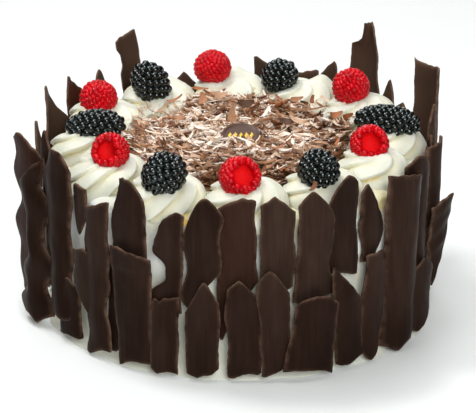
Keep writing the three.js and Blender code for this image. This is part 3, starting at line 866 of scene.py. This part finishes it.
def heaped(count, seed, lift, tilt, along=0.6, side=0):
    """Places and turns of flakes on the heap: even over its area but off the badge, thinning out towards
    one side (-1 leaves the left, 1 the right), level but for a tilt, with a grain that wanders."""
    draw = np.random.default_rng(seed)
    turn = draw.uniform(0, 2 * np.pi, count)
    radius = np.sqrt(draw.uniform(0, 1, count)) * (heap_reach(turn) - 1)
    x, y = radius * np.sin(turn), -radius * np.cos(turn)
    bare = np.hypot(x - BADGE_PLACE[0], y - BADGE_PLACE[1]) < BADGE_RADIUS + 2.5
    bare = bare & (y > BADGE_PLACE[1] - 0.45 * BADGE_RADIUS)
    shown = side == 0 or side * x > draw.uniform(-45, 25, count)
    x, y = x[shown & ~bare], y[shown & ~bare]
    centre = np.stack([x, y, heap_height(x, y) + draw.uniform(*lift, len(x))], axis=-1)
    spin = 0.5 * ripple(x, y, 23, 38) + draw.normal(0, along, len(x))
    pitch, roll = np.radians(draw.normal(0, tilt, (2, len(x))))
    return centre, spin, pitch, roll


def dust(x, y):
    """How thickly a place is dusted, 0 to 1: a bell round the middle of each patch."""
    bells = [np.exp(-((x - px) ** 2 + (y - py) ** 2) / (2 * spread ** 2)) for px, py, spread in DUSTED]
    return np.max(bells, axis=0)


def propped():
    """The big flakes one by one, as listed."""
    rows = np.array(PROPPED)
    spin, pitch, roll = np.radians(rows[:, 5:8]).T
    long, wide, bend, tone, amber, taper = rows[:, [3, 4, 8, 9, 10, 11]].T
    laid = rows[:, :3], spin, pitch, roll
    pairs = (long, long), (wide, wide), (bend, bend), (0.1, 0.5)
    return flakes(laid, *pairs, (tone, 0.02), 58, 8, amber, (taper, taper))


def banked(count, seed, first, last, lift):
    """Places and turns of flakes that lean on the swirls at the back of the heap, facing its middle, between
    two azimuths."""
    draw = np.random.default_rng(seed)
    at = np.radians(draw.uniform(first, last, count))
    ring = heap_reach(at) - draw.uniform(-4, 10, count)
    x, y = ring * np.sin(at), -ring * np.cos(at)
    centre = np.stack([x, y, heap_height(x, y) + draw.uniform(*lift, count)], axis=-1)
    pitch = np.radians(draw.normal(0, 12, count))
    roll = np.radians(draw.normal(36, 14, count))
    return centre, at - np.pi + draw.normal(0, 0.5, count), pitch, roll


def on_swirls(grids, chosen, count, seed):
    """Places and turns of flakes on the inner slopes of chosen swirls, lying along the slope."""
    draw = np.random.default_rng(seed)
    places, normals = [], []
    for i in chosen:
        grid = grids[i]
        normal = np.cross(np.roll(grid, -1, axis=1) - grid, np.diff(grid, axis=0, append=grid[-1:]))
        normal = normal / (np.linalg.norm(normal, axis=-1, keepdims=True) + 1e-9)
        normal = normal * np.sign(normal[..., 2:])
        inner = np.hypot(grid[..., 0], grid[..., 1]) < ROSETTE_RING - 1
        partway = (grid[..., 2] > CAKE_TOP + 2) & (grid[..., 2] < CAKE_TOP + 11)
        picked = draw.choice(np.flatnonzero(inner & partway & (normal[..., 2] > 0.4)), count)
        places.append(grid.reshape(-1, 3)[picked])
        normals.append(normal.reshape(-1, 3)[picked])
    place, normal = np.concatenate(places), np.concatenate(normals)
    spin = draw.uniform(0, 2 * np.pi, len(place))
    slope = -normal[:, :2] / normal[:, 2:]
    pitch = np.arctan(slope[:, 0] * np.cos(spin) + slope[:, 1] * np.sin(spin))
    roll = np.arctan(slope[:, 1] * np.cos(spin) - slope[:, 0] * np.sin(spin))
    return place + 0.5 * normal, spin, pitch, roll


def flakes(laid, length, width, bend, gutter, tone, seed, rows=6, amber=None, taper=(0, 0.4)):
    """Many curled flakes at once. Along b and across a, each flake is a strip bent into an arc along its
    length and a gutter across its width, pointed at its ends, twisted, then rolled, pitched and spun as it
    was laid. The pairs are the least and most of each measure; tone is a mean and a spread, and it drifts
    over the heap, pales with dust and is darker at the front. Unless told which, a few flakes are amber,
    where the light comes through."""
    centre, spin, pitch, roll = laid
    draw = np.random.default_rng(seed)
    count = len(centre)

    def spread(pair):
        return draw.uniform(*pair, count)[:, None, None]

    b, a = np.meshgrid(np.linspace(-1, 1, rows), np.linspace(-1, 1, 3), indexing="ij")
    long, wide, arc, trough = spread(length), spread(width), spread(bend), spread(gutter)
    arc = np.where(np.abs(arc) < 0.05, 0.05, arc)
    twist = spread((-0.6, 0.6)) * b
    across = wide / 2 * a * (1 - spread((0.1, 0.9)) * np.abs(b) ** 3) * (1 - spread(taper) * b)
    across = across + spread((-0.3, 0.3)) * wide * b ** 2
    up = trough * wide / 2 * a ** 2
    along = long / 2 / arc * np.sin(arc * b)
    rise = long / 2 / arc * (1 - np.cos(arc * b)) - 0.08 * long * np.abs(arc)
    side = across * np.cos(twist) - up * np.sin(twist)
    top = across * np.sin(twist) + up * np.cos(twist) + rise
    pitch, roll, spin = (turn[:, None, None] for turn in (pitch, roll, spin))
    side, top = side * np.cos(roll) - top * np.sin(roll), side * np.sin(roll) + top * np.cos(roll)
    along, top = along * np.cos(pitch) - top * np.sin(pitch), along * np.sin(pitch) + top * np.cos(pitch)
    x = along * np.cos(spin) - side * np.sin(spin)
    y = along * np.sin(spin) + side * np.cos(spin)
    middle = np.stack([x, y, top], axis=-1) + centre[:, None, None]
    normal = np.stack([np.sin(roll) * np.sin(spin), -np.sin(roll) * np.cos(spin), np.cos(roll)], axis=-1)
    inside = (np.abs(a) < 1) & (np.abs(b) < 1)
    points, quads = slab(middle, inside[..., None] * normal * FLAKE_HALF)
    x, y = centre[:, 0], centre[:, 1]
    # Painted shade: flakes in the troughs between the ridges are darker and those on the ridge tops paler.
    shade = draw.normal(*tone, count) + 0.15 * ripple(x, y, 25, 15) + 0.28 * ridges(x, y)
    back, front = np.clip(y / 40, 0, 1), np.clip((-y - 32) / 14, 0, 1)
    shade = shade - x / 600 + 0.4 * dust(x, y) + 0.1 * back - 0.2 * front
    shade = np.clip(shade, 0.05, 1)[:, None] + 0.1 * b.ravel() * draw.uniform(-1, 1, (count, 1))
    if amber is None:
        amber = np.where(draw.uniform(0, 1, count) < 0.06, draw.uniform(0.4, 0.9, count), 0)
    amber = np.repeat(np.broadcast_to(amber, count)[:, None], shade.shape[1], axis=1)
    return points, quads, {"tone": both_faces(shade, count), "amber": both_faces(amber, count)}


def heap_core():
    """The core: a mound on a grid of turn and radius share, dark between the flakes as painted shade of the
    gaps.
    """
    share = np.concatenate([[0, 1], np.linspace(1, 0, 40)])
    under = np.arange(len(share)) < 2
    a = np.linspace(0, 2 * np.pi, 180, endpoint=False)
    r = share[:, None] * (heap_reach(a) - HEAP_CORE_INSET)
    x, y = r * np.sin(a), -r * np.cos(a)
    z = np.where(under[:, None], CAKE_TOP - 1, heap_height(x, y) - 0.5)
    points, quads = shell(np.stack([x, y, z], axis=-1))
    tone = 0.1 + 0.08 * ripple(x, y, 31, 4).ravel()
    return points, quads, {"tone": tone, "amber": np.zeros(len(points))}


def strew(name, *layers):
    """One piece from layers of flakes."""
    put(name, layers, SHAVINGS, sharp=FLAKE_SHARP)


def shavings(swirls):
    """The core, shreds and flakes heaped on it, and a sprinkling up the swirls at the back. Each layer says
    how its flakes lie, then their length, width, bend, gutter, tone and seed."""
    put("heap_core", [heap_core()], SHAVINGS, ["shavings_heap"])
    slack = (-0.3, 0.7), (-0.2, 0.5)
    strew(
        "heap_flakes",
        flakes(heaped(420, 41, (0.5, 2.5), 9),
               (6, 13), (1.8, 3.4), (-0.5, 0.8), (-0.4, 0.7), (0.34, 0.15), 51),
        flakes(heaped(600, 42, (1, 4.4), 14, 1.0, 1),
               (5, 12), (1.4, 3.2), (-0.2, 1), (0.2, 1.3), (0.54, 0.17), 52),
        flakes(heaped(190, 70, (2.4, 4.4), 6, 0.7),
               (13, 24), (1.1, 2.2), (-0.5, 1), (0.2, 1.2), (0.46, 0.13), 71, 8),
        flakes(heaped(200, 40, (1.5, 4.4), 9, 0.6, -1),
               (6, 15), (1.2, 2.4), (0, 1.2), (0, 0.9), (0.42, 0.2), 50),
        flakes(banked(150, 43, 128, 250, (0, 3)), (4, 10), (1.2, 3.2), *slack, (0.42, 0.18), 53),
        flakes(banked(130, 68, 236, 268, (0, 3)),
               (6, 14), (0.8, 2.2), (-0.3, 0.9), (-0.2, 0.5), (0.42, 0.2), 69),
        flakes(banked(150, 62, 96, 130, (0, 3)), (5, 11), (1.4, 3.4), *slack, (0.42, 0.18), 63),
        flakes(banked(110, 48, 180, 208, (0, 3.5)), (4, 9), (2, 4.2), *slack, (0.30, 0.16), 59),
        flakes(heaped(210, 76, (2.6, 4.4), 9, 0.8),
               (7, 16), (1.5, 3.1), (-0.4, 0.9), (0.7, 1.6), (0.56, 0.2), 77, 6),
        propped(),
    )
    curved = (-0.5, 0.9), (-0.4, 0.6)
    # The brown shreds lie lower in the heap than the pale ones: their dark tone is partly the shavings' own
    # brown and partly painted shade of depth.
    strew(
        "brown_shreds",
        flakes(heaped(1500, 44, (0.5, 3.4), 7, 0.5), (6, 15), (0.8, 1.6), *curved, (0.25, 0.15), 54, 4),
        flakes(heaped(900, 64, (0.5, 3.6), 7, 0.4, -1), (7, 17), (0.7, 1.4), *curved, (0.14, 0.12), 65, 4),
    )
    strew(
        "pale_shreds",
        flakes(heaped(560, 45, (1.4, 4), 8, 0.7), (5, 14), (0.6, 1.3), *curved, (0.68, 0.18), 55, 4),
        flakes(heaped(760, 66, (1.4, 4), 7, 0.4, -1), (7, 17), (0.6, 1.3), *curved, (0.82, 0.18), 67, 4),
    )
    strew(
        "crumbs",
        flakes(heaped(2600, 72, (2, 4.4), 16, 1.2), (1.2, 3.4), (0.6, 1.3), *curved, (0.66, 0.22), 73, 3),
    )
    back = (4, 5, 6, 7, 8)
    strew(
        "sprinkled_flakes",
        flakes(on_swirls(swirls, back, 14, 46),
               (2, 7), (0.7, 2), (-0.4, 0.4), (-0.3, 0.5), (0.55, 0.2), 56),
        flakes(on_swirls(swirls, back, 170, 49),
               (0.5, 1.5), (0.4, 0.9), (-0.2, 0.2), (-0.2, 0.2), (0.76, 0.08), 60, 4, 0),
        flakes(on_swirls(swirls, (9, 3), 8, 47),
               (2, 6), (0.7, 1.8), (-0.4, 0.4), (-0.3, 0.5), (0.6, 0.2), 57),
    )


# Badge

def badge():
    """A moulded disc with a raised rim, and a row of gilt lozenges across it: each lozenge is a low pyramid
    with rounded shoulders on a grid of turn and share."""
    half = BADGE_THICKNESS / 2
    outline = np.array([
        (0, -half), (BADGE_RADIUS - 0.8, -half), (BADGE_RADIUS - 0.2, 0.3 - half), (BADGE_RADIUS, 0.9 - half),
        (BADGE_RADIUS, half - 0.7), (BADGE_RADIUS - 0.25, half - 0.2), (BADGE_RADIUS - 0.7, half),
        (BADGE_RADIUS - 1.3, half - 0.1), (BADGE_RADIUS - 1.8, half - 0.55),
        (BADGE_RADIUS - 2.4, half - 0.65), (0, half - BADGE_FACE_DEPTH),
    ])
    turn = np.linspace(0, 2 * np.pi, 72, endpoint=False)
    r, z = outline[:, :1], outline[:, 1:]
    disc = np.stack([r * np.cos(turn), r * np.sin(turn), np.repeat(z, len(turn), axis=1)], axis=-1)
    tilt = np.radians(BADGE_TILT)
    tip = np.array([[1, 0, 0], [0, np.cos(tilt), -np.sin(tilt)], [0, np.sin(tilt), np.cos(tilt)]])
    points, quads = shell(disc)
    body = points @ tip.T + BADGE_PLACE, quads, {}
    put("badge_disc", [body], BADGE, ["badge"], sharp=BADGE_SHARP)

    share = np.array([0, 1, 1, 0.85, 0.5, 0])
    level = np.array([-0.2, -0.2, 0.1, 0.3, 0.4, 0.45]) + half - BADGE_FACE_DEPTH
    across, up = np.abs(np.cos(turn)) / LOZENGE_HALF_WIDTH, np.abs(np.sin(turn)) / LOZENGE_HALF_HEIGHT
    r = share[:, None] / (across + up)
    z = np.repeat(level[:, None], len(turn), axis=1)
    lozenges = []
    for x in np.linspace(-LOZENGE_SPREAD, LOZENGE_SPREAD, LOZENGE_COUNT):
        points, quads = shell(np.stack([x + r * np.cos(turn), r * np.sin(turn), z], axis=-1))
        lozenges.append((points @ tip.T + BADGE_PLACE, quads, {}))
    put("badge_lozenges", lozenges, GOLD, sharp=BADGE_SHARP)


# Stage

def stage():
    """A pale floor, a dim white surround, the lamps and the camera."""
    scene = bpy.context.scene
    scene.view_settings.view_transform = "Standard"
    world = bpy.data.worlds.new("surround")
    scene.world = world
    world.use_nodes = True
    background = world.node_tree.nodes["Background"]
    background.inputs["Color"].default_value = (1, 1, 1, 1)
    background.inputs["Strength"].default_value = SURROUND_STRENGTH

    mesh = bpy.data.meshes.new("floor")
    corners = [(x * FLOOR_HALF, y * FLOOR_HALF, 0) for x, y in ((-1, -1), (1, -1), (1, 1), (-1, 1))]
    mesh.from_pydata(corners, [], [(0, 1, 2, 3)])
    finish = Finish("pale_floor", Roughness=0.5)
    finish.link("Base Color", finish.blend(finish.noise(400), (0.93, 0.955, 0.945), (0.95, 0.975, 0.965)))
    mesh.materials.append(finish.material)
    floor = bpy.data.objects.new("floor", mesh)
    scene.collection.objects.link(floor)

    for name, place, size, power in LAMPS:
        light = bpy.data.lights.new(name, "AREA")
        light.shape = "SQUARE"
        light.size = size
        light.energy = power
        lamp = bpy.data.objects.new(name, light)
        scene.collection.objects.link(lamp)
        aim(lamp, place, LAMP_TARGET)

    data = bpy.data.cameras.new("camera")
    data.lens = CAMERA_LENS
    data.sensor_width = SENSOR_WIDTH
    data.sensor_fit = "HORIZONTAL"
    camera = bpy.data.objects.new("camera", data)
    scene.collection.objects.link(camera)
    back = tip_vector(90 - CAMERA_ELEVATION, 0)
    target = np.array(CAMERA_TARGET)
    aim(camera, (target + back * CAMERA_DISTANCE) * MM, target * MM)
    scene.camera = camera


def aim(thing, place, target):
    """Puts a lamp or camera at a place, looking at a target."""
    away = np.array(place, dtype=float) - np.array(target, dtype=float)
    away = away / np.linalg.norm(away)
    right = np.cross((0, 0, 1), away)
    right = right / np.linalg.norm(right)
    up = np.cross(away, right)
    matrix = np.eye(4)
    matrix[:3, 0], matrix[:3, 1], matrix[:3, 2], matrix[:3, 3] = right, up, away, place
    thing.matrix_world = Matrix(matrix.tolist())


stage()
cream_coat()
swirls = rosettes()
shards()
for number, row in enumerate(BERRIES):
    berry(*row, BERRY_SEED + number)
shavings(swirls)
badge()
